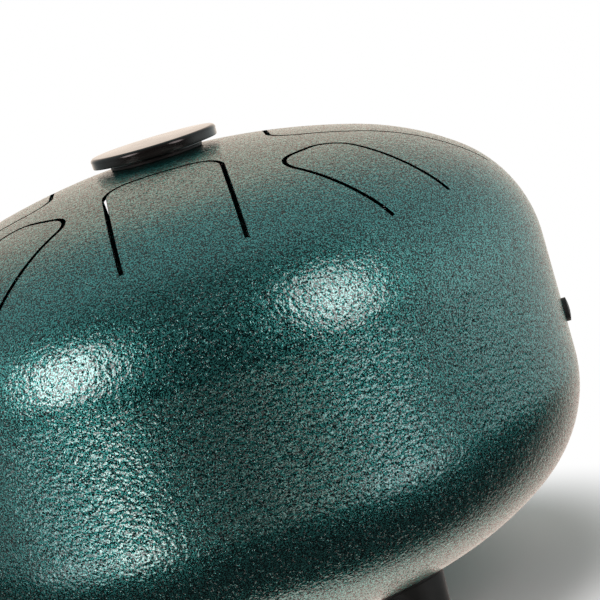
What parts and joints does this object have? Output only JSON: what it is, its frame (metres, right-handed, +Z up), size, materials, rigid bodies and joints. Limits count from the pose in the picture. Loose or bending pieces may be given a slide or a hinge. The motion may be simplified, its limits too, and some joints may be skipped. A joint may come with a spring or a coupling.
{
  "type": "steel tongue drum",
  "caption": "Round hollow steel drum of two pressed heads, its crown cut into sprung tongues around a low black cap, on rubber feet.",
  "frame": {"origin": "on the table, at the foot of the drum's axis", "axes": "+Z up along the drum's axis, -Y towards tongue 1, which faces the player"},
  "size_m": [0.3062, 0.305, 0.2259],
  "materials": {
    "hammered_paint": "glossy dark green hammertone paint",
    "weld_steel": "unfinished weld bead",
    "cap_plastic": "glossy black moulded plastic",
    "black_rubber": "matt black rubber",
    "zinc_steel": "bright zinc plate"
  },
  "bodies": {
    "drum": {"upper_shell": "hammered_paint", "lower_shell": "hammered_paint", "seam_weld": "weld_steel", "centre_cap": "cap_plastic", "cap_gasket": "black_rubber", "cap_washer": "zinc_steel", "cap_screw": "zinc_steel", "side_plug": "black_rubber", "port_trim": "black_rubber", "foot_1": "black_rubber", "foot_2": "black_rubber", "foot_3": "black_rubber", "foot_4": "black_rubber", "foot_washers": "zinc_steel", "foot_screws": "zinc_steel", "foot_nuts": "zinc_steel"},
    "note_1": {"tongue_1": "hammered_paint"},
    "note_2": {"tongue_2": "hammered_paint"},
    "note_3": {"tongue_3": "hammered_paint"},
    "note_4": {"tongue_4": "hammered_paint"},
    "note_5": {"tongue_5": "hammered_paint"},
    "note_6": {"tongue_6": "hammered_paint"},
    "note_7": {"tongue_7": "hammered_paint"},
    "note_8": {"tongue_8": "hammered_paint"}
  },
  "joints": [
    {"name": "tongue_1_flex", "type": "hinge", "parent": "drum", "child": "note_1", "pos_m": [0, -0.12429, 0.18829], "axis": [1, 0, 0], "range_deg": [-0.5, 0.5], "stiffness_Nm_per_rad": 18.67, "springref_deg": 0.06},
    {"name": "tongue_2_flex", "type": "hinge", "parent": "drum", "child": "note_2", "pos_m": [0.09683, -0.09683, 0.17771], "axis": [0.7071, 0.7071, 0], "range_deg": [-0.5, 0.5], "stiffness_Nm_per_rad": 5.91, "springref_deg": 0.07},
    {"name": "tongue_3_flex", "type": "hinge", "parent": "drum", "child": "note_3", "pos_m": [0.13588, 0, 0.17885], "axis": [0, 1, 0], "range_deg": [-0.5, 0.5], "stiffness_Nm_per_rad": 28.1, "springref_deg": 0.05},
    {"name": "tongue_4_flex", "type": "hinge", "parent": "drum", "child": "note_4", "pos_m": [0.09543, 0.09543, 0.17978], "axis": [-0.7071, 0.7071, 0], "range_deg": [-0.5, 0.5], "stiffness_Nm_per_rad": 5.8, "springref_deg": 0.08},
    {"name": "tongue_5_flex", "type": "hinge", "parent": "drum", "child": "note_5", "pos_m": [0, 0.13039, 0.18385], "axis": [-1, 0, 0], "range_deg": [-0.5, 0.5], "stiffness_Nm_per_rad": 29.32, "springref_deg": 0.06},
    {"name": "tongue_6_flex", "type": "hinge", "parent": "drum", "child": "note_6", "pos_m": [-0.09382, 0.09382, 0.18192], "axis": [-0.7071, -0.7071, 0], "range_deg": [-0.5, 0.5], "stiffness_Nm_per_rad": 4.93, "springref_deg": 0.08},
    {"name": "tongue_7_flex", "type": "hinge", "parent": "drum", "child": "note_7", "pos_m": [-0.13801, 0, 0.1765], "axis": [0, -1, 0], "range_deg": [-0.5, 0.5], "stiffness_Nm_per_rad": 31.59, "springref_deg": 0.05},
    {"name": "tongue_8_flex", "type": "hinge", "parent": "drum", "child": "note_8", "pos_m": [-0.09446, -0.09446, 0.1811], "axis": [0.7071, -0.7071, 0], "range_deg": [-0.5, 0.5], "stiffness_Nm_per_rad": 7.27, "springref_deg": 0.07}
  ]
}
